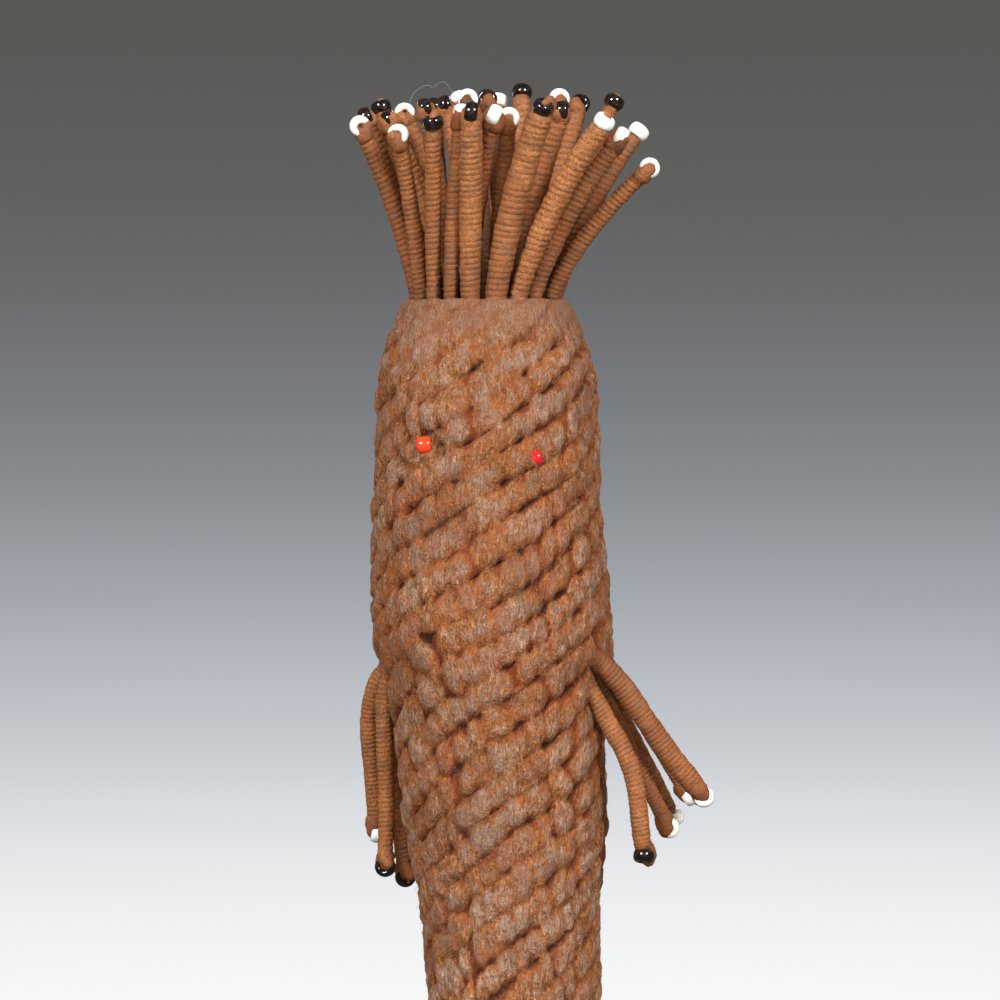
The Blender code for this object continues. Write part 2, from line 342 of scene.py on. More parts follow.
# Floor and backdrop in one sweep: a plain pale floor near the doll, and further out a glow, painted light
# that fades from white to grey as it climbs, in place of the studio light falling off.
sweep = {
    "flat": 1.15, "bend": 1.1, "top": 3.0, "rings": (0.0001, 0.1, 0.25, 0.5, 0.8), "around": 96,
    "litTo": 0.40, "fadeTo": 0.62, "paint": colour(206, 206, 205), "greyOutwards": 0.27, "greyUpwards": 0.42,
    # the glow's painted light: white near the doll, greying outwards and upwards
    "glowFalloff": [
        (0.00, (248, 249, 248)), (0.16, (247, 248, 247)), (0.222, (237, 238, 240)), (0.317, (216, 219, 223)),
        (0.389, (189, 194, 200)), (0.446, (163, 169, 174)), (0.498, (139, 144, 149)),
        (0.548, (121, 124, 129)), (0.597, (107, 108, 110)), (0.644, (97, 97, 97)), (0.72, (89, 88, 85)),
        (1.00, (84, 83, 80)),
    ],
}


def makeSweep():
    flat, bend = sweep["flat"], sweep["bend"]
    arc = [math.radians(a) for a in range(0, 91, 5)]
    places = [(x, 0, 0) for x in sweep["rings"]]
    places += [(flat + bend * math.sin(a), 0, bend * (1 - math.cos(a))) for a in arc]
    places += [(flat + bend, 0, sweep["top"])]
    shell = wind(lineMesh("sweep", places), 1, sweep["around"], 0.0)
    tidyMesh(shell, 1e-4)
    startEdit(shell)
    bpy.ops.mesh.flip_normals()
    endEdit()
    paper = Finish("paper")
    x, y, z = paper.axes()
    reach = (x * x + y * y) ** 0.5
    along = (reach * sweep["greyOutwards"] + z * sweep["greyUpwards"]).clamped()
    stops = [(place, colour(*tint)) for place, tint in sweep["glowFalloff"]]
    # painted light: the glow fades as the light on the backdrop would
    grey = paper.node("ShaderNodeValToRGB", {"stops": stops}, {"Fac": along})[0]
    glow = paper.node("ShaderNodeEmission", {}, {"Color": grey, "Strength": 1.0})[0]
    paper.shade(Base_Color=sweep["paint"], Roughness=0.9)
    near = reach.between(sweep["litTo"], sweep["fadeTo"])
    painted = Wire(paper, paper.shader.outputs[0])
    both = paper.node("ShaderNodeMixShader", {}, {0: near, 1: painted, 2: glow})[0]
    paper.tree.links.new(both.socket, paper.tree.nodes["Material Output"].inputs[0])
    shell.data.materials.append(paper.material)
    shell.visible_glossy = False
    shell.visible_diffuse = False


lights = {
    "lamps": {
        "key": {"place": (-0.75, -1.15, 0.95), "size": 0.34, "power": 25},
        "fill": {"place": (0.80, -1.12, 0.92), "size": 0.34, "power": 23},
        "above": {"place": (0.0, 0.25, 1.15), "size": 0.7, "power": 5},
        "low": {"place": (0.0, -1.30, 0.06), "size": 0.7, "power": 10},  # what the floor throws back
        "left": {"place": (-1.25, 0.10, 0.35), "size": 0.6, "power": 2.4},
        "right": {"place": (1.25, 0.10, 0.35), "size": 0.6, "power": 2.4},
        "behind": {"place": (0.10, 1.30, 0.80), "size": 0.6, "power": 12},
    },
    "mirrored": ("key", "fill"),  # the lamps that show as highlights on the beads
    "aim": (0, 0, 0.17),
    "sky": 0.12, "skyTint": (1.0, 0.95, 0.89, 1.0),
}


def makeLights():
    aim = Vector(lights["aim"])
    for name, lit in lights["lamps"].items():
        made = bpy.data.lights.new(name, "AREA")
        made.shape = "SQUARE"
        made.size = lit["size"]
        made.energy = lit["power"]
        lamp = addObject(name, made)
        lamp.location = lit["place"]
        lamp.visible_glossy = name in lights["mirrored"]
        lamp.rotation_euler = (aim - lamp.location).to_track_quat("-Z", "Y").to_euler()
    world = bpy.data.worlds.new("room")
    world.use_nodes = True
    sky = world.node_tree.nodes["Background"]
    sky.inputs[0].default_value = lights["skyTint"]
    sky.inputs[1].default_value = lights["sky"]
    bpy.context.scene.world = world


# The knotted binding: twelve ridges climb to the right, twenty knots to a turn, as in the solid.
knots = {
    "perTurn": 20, "ridges": 12, "spacing": 0.0061, "rowsPerRidge": 12, "columns": 240, "turns": 5,
    "kept": 80, "seed": 11,
    "from": 0.0165, "plainTo": 0.0190, "fullFrom": 0.027, "wornFrom": 0.952, "wornTo": 0.986,
    "depth": 0.0020, "square": 1.70, "plump": 0.46, "tallest": 1.15,  # the relief, and the domes' form
    "blend": 16,  # how softly two domes meet
    "lobeApart": 0.245, "lobeWide": 0.00246, "lobeTall": 0.00366, "lobeArc": 0.0062, "lean": 0.12,
    "vary": {  # how far a knot's lobes differ from the usual ones at most
        "apart": 0.16, "twist": 0.10, "lean": 0.26, "leanApart": 0.12, "wide": 0.18, "wideApart": 0.17,
        "tall": 0.15, "tallApart": 0.12, "high": 0.13, "highApart": 0.09,
    },
    "single": {"from": 0.72, "apart": 0.3, "wide": 1.35},  # the few knots whose lobes are one
    "slip": 0.12, "slipUp": 0.7, "wander": 0.29, "wanderAlong": 0.8, "wanderSize": 0.015, "hem": 0.0040,
    "ridgeBase": 0.58, "ridgeMore": 0.33, "ridgeSquare": 4.2, "ridgePlump": 0.6,  # the cord under the knots
    "lump": 0.00033, "lumpSize": 0.0021, "lumpFiner": 0.0011, "lumpFinerShare": 0.6,
    "together": {  # where knots run into one another, most of all on the head
        "size": 0.019, "from": 0.10, "over": 0.28, "onHead": 0.50, "headFrom": 0.76, "headOver": 0.14,
    },
    "matted": 0.82, "mattedSize": 0.008, "mattedFrom": 0.30, "mattedOver": 0.2,
    "wear": 0.56, "wornDrop": 0.00025,
    "seamFrom": 0.42, "seamOver": 0.28, "cleft": 0.0002, "cleftWide": 0.18,
    "rimRound": 0.0016, "rimDrop": 0.0007,
    "tuck": 0.0009, "tuckOver": 0.002,  # the lower edge goes in under the foot's coil
    "crownRings": ((0.93, -0.0003), (0.86, 0.0004), (0.75, 0.0004), (0.60, 0.0003), (0.5, 0.0001)),
    "pitRadius": 0.02, "pitSlant": 0.6, "pitRagged": 0.0008,
}
pits = [  # degrees from the front, height, width, depth: the deeper holes between knots
    (-49, 0.1874, 0.0014, 0.0013), (-35, 0.1564, 0.0014, 0.0013), (-27, 0.1220, 0.0014, 0.0012),
    (-29.5, 0.1909, 0.0022, 0.0015), (26.6, 0.1888, 0.0012, 0.0008), (-46, 0.1990, 0.0010, 0.0010),
    (66, 0.1500, 0.0026, 0.0012), (80, 0.1490, 0.0026, 0.0012), (-95, 0.1480, 0.0026, 0.0010),
]


def gathered(table, knot, ridge):  # a value for each knot; past the last one the ridge goes on twelve higher
    perTurn, ridges = knots["perTurn"], knots["ridges"]
    turns = np.floor_divide(knot, perTurn)
    row = ridge + ridges * turns + 2 * ridges
    return table[knot - perTurn * turns, np.clip(row, 0, table.shape[1] - 1)]


def noiseAt(places):
    return np.array([noise.noise(Vector(place)) for place in places])


def cloudsAt(places, size, seed):
    shift = Vector((seed * 7.3, seed * 3.1, seed * 5.7))
    return noiseAt([Vector(place) / size + shift for place in places])


def lobe(own, offU, offV, side, arc):  # one dome of a knot: its height here, and how far out this is
    vary, single = knots["vary"], own["single"] > knots["single"]["from"]
    spread = np.where(single, knots["single"]["apart"], 1 + vary["apart"] * own["apart"])
    offU = offU - side * knots["lobeApart"] * spread
    climb = knots["spacing"] * knots["ridges"] / knots["perTurn"]
    across = offU * arc
    up = knots["spacing"] * (offV - side * vary["twist"] * own["twist"]) + climb * offU
    lean = knots["lean"] + vary["lean"] * own["lean"] + vary["leanApart"] * side * own["uneven"]
    turned = across * np.cos(lean) - up * np.sin(lean)
    upright = up + across * np.sin(lean)
    wide = knots["lobeWide"] * (1 + vary["wide"] * own["wide"] + vary["wideApart"] * side * own["uneven"])
    wide = wide * np.where(single, knots["single"]["wide"], 1.0) * (arc / knots["lobeArc"]) ** 0.9
    tall = knots["lobeTall"] * (1 + vary["tall"] * own["tall"] + vary["tallApart"] * side * own["twist"])
    reach = (turned / wide) ** 2 + (upright / tall) ** 2
    dome = np.maximum(1 - reach ** knots["square"], 0.0) ** knots["plump"]
    return dome * (1 + vary["high"] * own["high"] - vary["highApart"] * side * own["uneven"]), reach


def knotRelief(u, v, arc, tables):  # how high the knots stand, where on a lobe, and which knot it is
    column, row = np.rint(u).astype(int), np.rint(v).astype(int)
    best, crown = np.zeros(len(u)), np.zeros(len(u))
    owner = np.zeros((3, len(u)), dtype=int)
    for i, j in [(i, j) for i in (-1, 0, 1) for j in (-1, 0, 1)]:
        knot, ridge = column + i, row + j
        own = {name: gathered(table, knot, ridge) for name, table in tables.items()}
        offU = u - knot - knots["slip"] * own["along"]
        offV = v - ridge - knots["slipUp"] * knots["slip"] * own["across"]
        for side in (-1, 1):
            dome, reach = lobe(own, offU, offV, side, arc)
            wins = dome > best
            crown = np.maximum(crown, 1 - reach)
            best = (best ** knots["blend"] + dome ** knots["blend"]) ** (1 / knots["blend"])
            for place, value in enumerate((knot, ridge, side)):
                owner[place] = np.where(wins, value, owner[place])
    return np.minimum(best, knots["tallest"]), crown, owner


def coverEnd(shell, rim, middle, rings):  # closes an open end with rings, each with its shrink and rise
    editOnly(shell, rim)
    bpy.ops.mesh.select_mode(type="EDGE")
    for shrink, rise in rings:
        bpy.ops.mesh.extrude_region_move(TRANSFORM_OT_translate={"value": (0, 0, rise)})
        bpy.ops.transform.resize(value=(shrink, shrink, 1), center_override=middle)
    bpy.ops.mesh.select_mode(type="VERT")
    bpy.ops.mesh.merge(type="CENTER")
    endEdit()


def trim(shell, low, high):  # cuts a wound mesh off level below and above
    startEdit(shell)
    for height, inner, outer in ((low, True, False), (high, False, True)):
        bpy.ops.mesh.select_all(action="SELECT")
        bpy.ops.mesh.bisect(plane_co=(0, 0, height), plane_no=(0, 0, 1),
                            clear_inner=inner, clear_outer=outer)
    endEdit()


def pitted(turn, height, ragged):  # how far the pits go in
    fall = 0.0
    for degrees, pitHeight, width, depth in pits:
        off = np.radians((np.degrees(turn) + 90 - degrees + 180) % 360 - 180) * knots["pitRadius"]
        off = off + knots["pitSlant"] * (height - pitHeight) + knots["pitRagged"] * ragged
        fall = fall + depth * np.exp(-(off**2 + (height - pitHeight) ** 2) / width**2)
    return fall


def makeBinding():
    draw = np.random.default_rng(knots["seed"])
    ridges, perTurn, spacing = knots["ridges"], knots["perTurn"], knots["spacing"]
    rows = knots["rowsPerRidge"] * ridges
    line = [(1.0, 0.0, row / knots["rowsPerRidge"]) for row in range(rows + 1)]
    shell = wind(lineMesh("binding", line), knots["turns"], knots["columns"], ridges)
    start = lengthAt(knots["from"])
    trim(shell, ridges + start / spacing, ridges + fullLength / spacing)
    flat = points(shell)
    turn = np.mod(np.arctan2(flat[:, 1], flat[:, 0]), 2 * math.pi)
    length = np.clip((flat[:, 2] - ridges) * spacing, start, fullLength)
    plain = onBody(turn, length, 0.0)
    height = plain[:, 2]
    share = height / body["height"]
    hem = ease(np.minimum(length - start, fullLength - length) / knots["hem"])

    # Where each point lies among the knots, and how high it stands.
    tables = {name: draw.uniform(-1, 1, (perTurn, knots["kept"])) for name in (
        "along", "across", "apart", "twist", "lean", "wide", "tall", "uneven", "high", "single",
        "tone", "rust")}
    wander = knots["wander"] * hem
    u = turn / (2 * math.pi) * perTurn
    u = u + wander * knots["wanderAlong"] * cloudsAt(plain, knots["wanderSize"], 1)
    v = length / spacing - ridges * turn / (2 * math.pi) + wander * cloudsAt(plain, knots["wanderSize"], 2)
    relief, crown, owner = knotRelief(u, v, profile(length)[0] * 2 * math.pi / perTurn, tables)

    # In places the knots run together into ridges, or are matted flat.
    offRidge = 2 * np.abs(v - np.rint(v))
    ridgeForm = np.maximum(1 - offRidge ** knots["ridgeSquare"], 0.0) ** knots["ridgePlump"]
    together = knots["together"]
    headward = together["onHead"] * ease((share - together["headFrom"]) / together["headOver"])
    run = ease((cloudsAt(plain, together["size"], 3) + headward - together["from"]) / together["over"])
    relief = np.maximum(relief, ridgeForm * (knots["ridgeBase"] + knots["ridgeMore"] * run))
    matted = ease((cloudsAt(plain, knots["mattedSize"], 6) - knots["mattedFrom"]) / knots["mattedOver"])
    relief = np.maximum(relief, knots["matted"] * matted)

    # How far each point falls below the knots' tops.
    worn = ease((share - knots["wornFrom"]) / (knots["wornTo"] - knots["wornFrom"]))
    grown = ease((height - knots["plainTo"]) / (knots["fullFrom"] - knots["plainTo"]))
    keep = (1 - knots["wear"] * worn) * grown
    fine = cloudsAt(plain, knots["lumpSize"], 4)
    fine = fine + knots["lumpFinerShare"] * cloudsAt(plain, knots["lumpFiner"], 5)
    cleft = 1 - offRidge  # how far from the line between two ridges
    fall = keep * knots["depth"] * (1 - relief) + (knots["wornDrop"] * worn - knots["lump"] * fine) * hem
    fall = fall + knots["cleft"] * keep * np.clip(1 - cleft / knots["cleftWide"], 0, 1)
    fall = fall + knots["rimDrop"] * np.clip(1 - (fullLength - length) / knots["rimRound"], 0, 1) ** 2
    fall = fall + knots["tuck"] * ease((knots["plainTo"] - height) / knots["tuckOver"])
    fall = fall + pitted(turn, height, fine)
    setPoints(shell, onBody(turn, length, fall))

    # What the finish reads: each is a value on the points. Hollow and cleft steer painted shade in the
    # crevices, crown a painted sheen on the lobes' tops, and seam a partly painted shade between the lobes.
    lobeTone = 0.6 * owner[2] * gathered(tables["high"], *owner[:2])
    store(shell, crown=crown, worn=worn, hollow=np.clip(fall / knots["depth"], 0, 1.4),
          tone=gathered(tables["tone"], *owner[:2]) + lobeTone,
          rust=gathered(tables["rust"], *owner[:2]) + lobeTone,
          seam=ease((knots["seamFrom"] - crown) / knots["seamOver"]) * keep * (1 - 0.7 * matted),
          cleft=cleft + (1 - keep) + 0.4 * matted)
    rim = points(shell)[:, 2] > body["height"] - 1e-5
    coverEnd(shell, rim, (float(axisX(body["height"])), 0.0, body["height"]), knots["crownRings"])
    tidyMesh(shell, 2e-6)
    finishPiece(shell, finishes["knots"], "knotted_cord", "body")
    print("binding:", len(shell.data.polygons), "faces")
    return shell


# The low foot: one thick cord coiled outwards and down, as plain as a basket's rim.
foot = {
    "cord": 0.0023, "sides": 12, "columns": 300, "to": 0.0205, "round": 0.42, "hem": 0.0006,
    "strands": 46, "strandLean": 0.9, "strandSway": 0.8, "strandDepth": 0.00034,
    "wobble": 0.00022, "wobbleSize": 0.009, "lumpSize": 0.0014, "tuck": 0.0016, "tuckOver": 0.0012,
    "underRings": ((0.94, 0.0), (0.6, 0.0), (0.2, 0.0)),
}


def makeFoot():
    end = lengthAt(foot["to"])
    turns = round(end / foot["cord"])
    pitch = end / turns
    half = [math.pi * (i / foot["sides"] - 0.5) for i in range(foot["sides"] + 1)]
    line = lineMesh("foot_coil", [(1 + 0.5 * math.cos(a), 0, 0.5 * math.sin(a)) for a in half])
    shell = wind(line, turns + 1, foot["columns"], 1.0)
    trim(shell, 0.5, turns + 0.5)
    flat = points(shell)
    turn = np.arctan2(flat[:, 1], flat[:, 0])
    bulge = (np.hypot(flat[:, 0], flat[:, 1]) - 1) / 0.5
    length = (flat[:, 2] - 0.5) * pitch
    hem = ease(length / foot["hem"])
    smooth = onBody(turn, length, 0.0)
    wave = cloudsAt(smooth, foot["wobbleSize"], 5)
    lump = cloudsAt(smooth, foot["lumpSize"], 6)
    upCord = np.mod(flat[:, 2] - 0.5, 1.0) - 0.5  # from the lower side of the cord to its upper side
    lean = foot["strandLean"] * math.pi * upCord + foot["strandSway"] * wave
    groove = (1 - np.abs(np.sin(0.5 * foot["strands"] * turn + lean))) ** 2
    fall = pitch * foot["round"] * (1 - bulge) + foot["wobble"] * (wave + 0.5 * lump)
    fall = (fall + foot["strandDepth"] * groove * bulge) * hem
    fall = fall + foot["tuck"] * ease((length - (end - foot["tuckOver"])) / foot["tuckOver"])
    setPoints(shell, onBody(turn, length, fall))
    # hollow: how deep a point lies between the coil's rounds and in its strand grooves; the finish darkens
    # it as painted shade
    store(shell, hollow=np.maximum((1 - bulge) * 1.1, 0.75 * groove))
    coverEnd(shell, points(shell)[:, 2] < 1e-6, (0, 0, 0), foot["underRings"])
    tidyMesh(shell)
    finishPiece(shell, finishes["coil"], "knotted_cord", "body")
    print("foot:", len(shell.data.polygons), "faces")


# Hair and arms: thread wound round rolls of fibre. Lists as in the solids, drawn in millimetres.
cords = {
    "fine": 0.00150, "plump": 0.00170, "thick": 0.00205, "widest": 0.00240,  # radius by girth
    "hairTurns": 32, "armTurns": 40, "around": 18, "threadSides": 8, "threadDepth": 0.00013,
    "hairGirths": (0.8, 0.9, 1, 1, 0.98, 0.95), "armGirths": (0.97, 1, 0.98, 1, 0.96),  # from root to tip
    "swell": 0.06, "dent": 0.08, "tipRound": 0.0011, "rootRound": 0.0004,
    "hairRoot": 0.0008, "sunk": 0.0022, "sunkLean": 0.022, "edgeMargin": 0.0005, "hairSteps": 24,
    "innerShare": 0.56, "middleShare": 0.06, "socket": 0.0025, "armRootIn": 0.0018, "armSteps": 8,
    "gap": 0.0003, "hairSeed": 5, "armSeed": 9,
}
hair = [  # ring, degrees from the front, tip from root (right, back, up), girth, bead, how the bead lies
    ("outer", -88, -8.9, -6.5, 28.5, "fine", "white", "ring"),
    ("outer", -68, -3.4, -8.2, 26.6, "fine", "white", "ring"),
    ("outer", -48, 0.1, -8.4, 29.1, "fine", "black", "flat"),
    ("outer", -30, 1.8, -6.1, 29.8, "fine", "white", "side"),
    ("outer", -13, 0.3, -7.9, 30.0, "thick", "black", "side"),
    ("outer", 8, 7.7, -7.7, 31.6, "widest", "black", "flat"),
    ("outer", 27, 14.1, -7.5, 29.4, "thick", "white", "flat"),
    ("outer", 43, 13.7, -3.8, 26.4, "plump", "white", "side"),
    ("outer", 69, 15.5, -4.4, 21.4, "fine", "white", "ring"),
    ("outer", 91, 13.9, 2.8, 28.8, "fine", "white", "flat"),
    ("outer", 112, 10.8, 4.7, 34.4, "fine", "black", "flat"),
    ("inner", -28, 4.3, -9.1, 29.9, "fine", "white", "side"),
    ("inner", 12, 2.3, -5.0, 29.5, "fine", "white", "ring"),
    ("inner", 52, 7.4, -6.6, 31.6, "plump", "black", "side"),
    ("inner", 92, 5.6, -2.8, 34.2, "fine", "white", "ring"),
    ("outer", 133, 7.4, 6.7, 34.4, "plump", "black", "ring"),
    ("outer", 154, 0.9, 6.9, 37.4, "plump", "black", "flat"),
    ("outer", 175, 0.9, 8.2, 35.9, "fine", "white", "flat"),
    ("outer", -164, -1.4, 8.6, 36.2, "fine", "white", "flat"),
    ("outer", -143, -2.0, 7.7, 33.9, "fine", "black", "side"),
    ("outer", -123, -8.3, 2.5, 34.1, "plump", "black", "flat"),
    ("outer", -105, -8.9, -1.3, 31.2, "fine", "black", "side"),
    ("inner", 150, -3.3, 5.8, 35.0, "fine", "black", "ring"),
    ("inner", -162, -5.0, 6.1, 34.0, "fine", "black", "side"),
    ("inner", -128, -8.7, 0.1, 32.1, "fine", "white", "ring"),
    ("inner", -97, -9.6, -3.9, 30.5, "fine", "black", "side"),
    ("inner", -64, -4.3, -7.3, 32.0, "fine", "black", "side"),
    ("middle", 180, -3.2, 0.2, 34.3, "plump", "white", "ring"),
]
separateBeads = 13
arms = [  # side, degrees, height share, girth, bead, how it lies, and stops from the root (right, back, up)
    ("right", 66, 0.704, "thick", "white", "ring",
     [(5.2, 1.0, -5.4), (12.6, 2.4, -16.2), (18.5, 3.4, -23.7)]),
    ("right", 62, 0.680, "plump", "black", "flat",
     [(3.4, -0.4, -6.0), (7.9, -1.6, -15.2), (9.8, -2.0, -28.6)]),
    ("right", 76, 0.680, "fine", "white", "ring",
     [(3.4, 1.2, -6.0), (7.9, 2.6, -15.6), (12.2, 3.0, -24.1)]),
    ("right", 80, 0.704, "fine", "white", "side",
     [(4.4, 2.0, -6.6), (9.8, 4.2, -15.2), (14.9, 5.4, -24.0)]),
    ("right", 90, 0.690, "fine", "white", "flat",
     [(2.8, 2.2, -6.2), (8.0, 4.8, -16.4), (12.8, 5.8, -25.9)]),
    ("left", -97, 0.693, "plump", "white", "side",
     [(-2.6, 0.8, -3.4), (-3.9, 2.6, -10.6), (-3.3, 4.8, -19.6), (-2.7, 6.4, -28.8)]),
    ("left", -86, 0.688, "fine", "black", "ring",
     [(-1.2, 0.0, -4.0), (-1.2, 0.8, -12.6), (-0.9, 2.4, -22.0), (-1.0, 2.0, -32.9)]),
    ("left", -97, 0.668, "fine", "black", "ring",
     [(-0.8, 1.2, -5.6), (-0.4, 2.0, -16.6), (1.1, 2.6, -31.0)]),
]


def makeWinding(turns):  # one straight cord: a half-round thread wound tight, 1 long and 1 in radius
    sides = cords["threadSides"]
    pitch = 1.0 / turns
    bpy.ops.object.select_all(action="DESELECT")
    bpy.ops.mesh.primitive_circle_add(vertices=sides, radius=pitch / 2, location=(1, 0, 0),
                                      rotation=(math.pi / 2, 0, 0))
    thread = bpy.context.object
    bpy.ops.object.transform_apply(location=True, rotation=True)
    editOnly(thread, points(thread)[:, 0] < 1 - pitch * 0.01)  # the inner half
    bpy.ops.mesh.delete(type="VERT")
    endEdit()
    wind(thread, turns, cords["around"], pitch)
    tidyMesh(thread, 1e-5)
    places = points(thread)
    out = np.hypot(places[:, 0], places[:, 1])
    store(thread, hollow=1 - (out - 1) / (pitch / 2))
    thread.name = "winding"
    return thread


def readAlong(lengths, way, values):  # rows of values, read off at each way along
    return np.stack([np.interp(way, lengths, column) for column in np.array(values).T], axis=-1)


def closing(fromEnd, over):  # rounds a cord off towards its end
    return np.sqrt(1 - (0.995 * np.clip(1 - fromEnd / over, 0, 1)) ** 2)


def lay(piece, route, radii, tone, seed):  # bends the straight cord along a route
    places = points(piece)
    low, high = places[:, 2].min(), places[:, 2].max()
    share = (places[:, 2] - low) / (high - low)
    turn = np.arctan2(places[:, 1], places[:, 0])
    route = np.array(route)
    lengths = np.concatenate([[0], np.cumsum(np.linalg.norm(np.diff(route, axis=0), axis=1))])
    way = share * lengths[-1]
    centre = readAlong(lengths, way, route)
    tangent = readAlong(lengths, way, np.gradient(route, lengths, axis=0))
    tangent /= np.linalg.norm(tangent, axis=1)[:, None]
    side = np.cross(tangent, (0.13, 1.0, 0.07))  # a direction that no cord takes
    side /= np.linalg.norm(side, axis=1)[:, None]
    away = np.cos(turn)[:, None] * side + np.sin(turn)[:, None] * np.cross(tangent, side)
    circle = [(math.cos(t), math.sin(t), s) for t, s in zip(turn, share)]
    swell = noiseAt([(seed * 1.7, s * 9.0, 0.3) for s in share])
    dent = noiseAt([(x * 0.9, y * 0.9, s * 26 + seed * 3.3) for x, y, s in circle])
    matted = ease(noiseAt([(x, y, s * 12 - seed * 2.9) for x, y, s in circle]) * 1.8 - 0.08)
    hollow = stored(piece, "hollow")
    radius = np.interp(share, np.linspace(0, 1, len(radii)), radii)
    radius = radius * (1 + cords["swell"] * swell + cords["dent"] * dent)
    radius = radius - cords["threadDepth"] * hollow * (1 - 0.8 * matted)
    radius = radius * closing(lengths[-1] - way, cords["tipRound"]) * closing(way, cords["rootRound"])
    setPoints(piece, centre + radius[:, None] * away)
    store(piece, tone=tone, share=share, hollow=hollow * (1 - 0.75 * matted))


def strandTubes(name, routes, resolution):  # routes of (place, radius); all end up in one mesh
    curve = bpy.data.curves.new(name, "CURVE")
    curve.dimensions = "3D"
    curve.bevel_depth = 1.0
    curve.bevel_resolution = resolution
    curve.use_fill_caps = True
    for route in routes:
        spline = curve.splines.new("POLY")
        spline.points.add(len(route) - 1)
        for knot, (place, radius) in zip(spline.points, route):
            knot.co = (*place, 1.0)
            knot.radius = radius
    only(addObject(name, curve))
    bpy.ops.object.convert(target="MESH")
    tubes = bpy.context.object
    tidyMesh(tubes)
    return tubes


# Seed beads: 3.8 mm across, threaded on a loop of the cord's own fibre.
bead = {
    "radius": 0.0019, "half": 0.00117, "hole": 0.00055, "squareness": 0.85, "around": 28, "ringSides": 14,
    "overlap": 0.0005, "tilt": 0.26, "rough": 0.00022, "roughSize": 0.0011, "steps": 4,
    "knob": 0.0016, "knobOut": 0.00085, "knobGirth": 0.97,
    "strand": 0.00078, "loop": [  # over a flat bead: up from its middle, aside from it, girth
        (0.00057, 0, 0.8), (0.00107, 0.0010, 1.15), (0.0004, 0.0018, 1.45), (-0.00097, 0.0016, 1.5)],
    "cheek": 0.00136, "lip": [  # beside a bead: up from its middle, half widths out, slips aside, girth
        (-0.0009, 0.36, 0.6, 1.16), (-0.0001, 0.44, 1, 0.98), (0.0006, 0.42, 1, 0.66),
        (0.0009, 0.36, 1, 0.30)],
    "fatter": (0.90, 1.08), "rise": 0.0003, "slip": 0.0009, "aside": 0.9,  # how far lips and loops differ
    "eyeRadius": 0.0016, "eyeHalf": 0.0013, "eyeTurn": 0.1, "eyeRise": 0.12,
    "stitch": 0.00050, "stitchOut": 0.0009, "stitchIn": 0.0014,
}


def makeBead():
    section = (bead["radius"] - bead["hole"]) / 2
    bpy.ops.object.select_all(action="DESELECT")
    bpy.ops.mesh.primitive_torus_add(major_radius=bead["hole"] + section, minor_radius=section,
                                     major_segments=bead["around"], minor_segments=bead["ringSides"])
    made = bpy.context.object
    places = points(made)
    squared = places[:, 2] / section
    places[:, 2] = np.sign(squared) * np.abs(squared) ** bead["squareness"] * bead["half"]
    setPoints(made, places)
    bpy.ops.object.shade_smooth()
    made.name = "seed_bead"
    return made


def holeDirection(lies, up):
    if lies == "flat":
        return up
    across = Vector((1, 0, 0)) if lies == "side" else Vector((0, -1, 0))
    return (across - up * across.dot(up)).normalized()


def placeBead(pattern, name, centre, hole, size=(1, 1)):
    made = copyOf(pattern, name)
    turn = Vector((0, 0, 1)).rotation_difference(hole)
    made.data.transform(turn.to_matrix().to_4x4() @ Matrix.Diagonal((size[0], size[0], size[1], 1)))
    made.data.transform(Matrix.Translation(centre))
    return made


def cheeks(tip, up, centre, hole, lies, radius, draw):  # the fibre that holds a bead, as it shows outside it
    if lies == "flat":  # up through the hole, over the back and down to the cord
        aside = (Vector((draw.uniform(-bead["aside"], bead["aside"]), 1.0, 0)) - up * up.y).normalized()
        stops = [(tip, 0.7), (centre, 0.7)]
        stops += [(centre + up * rise + aside * over, girth) for rise, over, girth in bead["loop"]]
        stops += [(tip + aside * radius * 0.7 - up * 0.0008, 1.3)]
        return [smoothStrand(stops, bead["strand"])]
    made = []
    for side in (-1, 1):  # a broad lip of fibre that covers the hole and cups the bead from below
        out = hole * side * bead["half"]
        fat = bead["cheek"] * draw.uniform(*bead["fatter"])
        lift = draw.uniform(-bead["rise"], bead["rise"])
        slip = up.cross(hole) * draw.uniform(-bead["slip"], bead["slip"])
        stops = [(tip - up * 0.0009 + out * 0.20, radius * 0.80 / fat), (tip + out * 0.30, 1.18)]
        stops += [(centre + up * (lift + rise) + out * wide + slip * slips, girth)
                  for rise, wide, slips, girth in bead["lip"]]
        made.append(smoothStrand(stops, fat))
    return made


def smoothStrand(stops, thickness):
    places = smoothRoute([place for place, share in stops], bead["steps"])
    shares = smoothRoute([share for place, share in stops], bead["steps"])
    return [(place, thickness * max(share, 0.2)) for place, share in zip(places, shares)]


def makeKnob(name, tip, up, radius, seed):  # the fibres bound over the end of a cord
    bpy.ops.object.select_all(action="DESELECT")
    bpy.ops.mesh.primitive_uv_sphere_add(segments=16, ring_count=10, radius=1.0)
    knob = bpy.context.object
    knob.name = name
    places = points(knob)
    lumps = noiseAt([Vector(place) * 2.2 + Vector((seed * 3.1, 0, 0)) for place in places])
    wide = radius * bead["knobGirth"]
    setPoints(knob, places * (1 + 0.10 * lumps)[:, None] * (wide, wide, bead["knob"]))
    turn = Vector((0, 0, 1)).rotation_difference(up).to_matrix().to_4x4()
    knob.data.transform(Matrix.Translation(tip - up * (bead["knob"] - bead["knobOut"])) @ turn)
    bpy.ops.object.shade_smooth()
    return knob


def join(piece, *others):
    bpy.ops.object.select_all(action="DESELECT")
    for other in others:
        other.select_set(True)
    piece.select_set(True)
    bpy.context.view_layer.objects.active = piece
    bpy.ops.object.join()


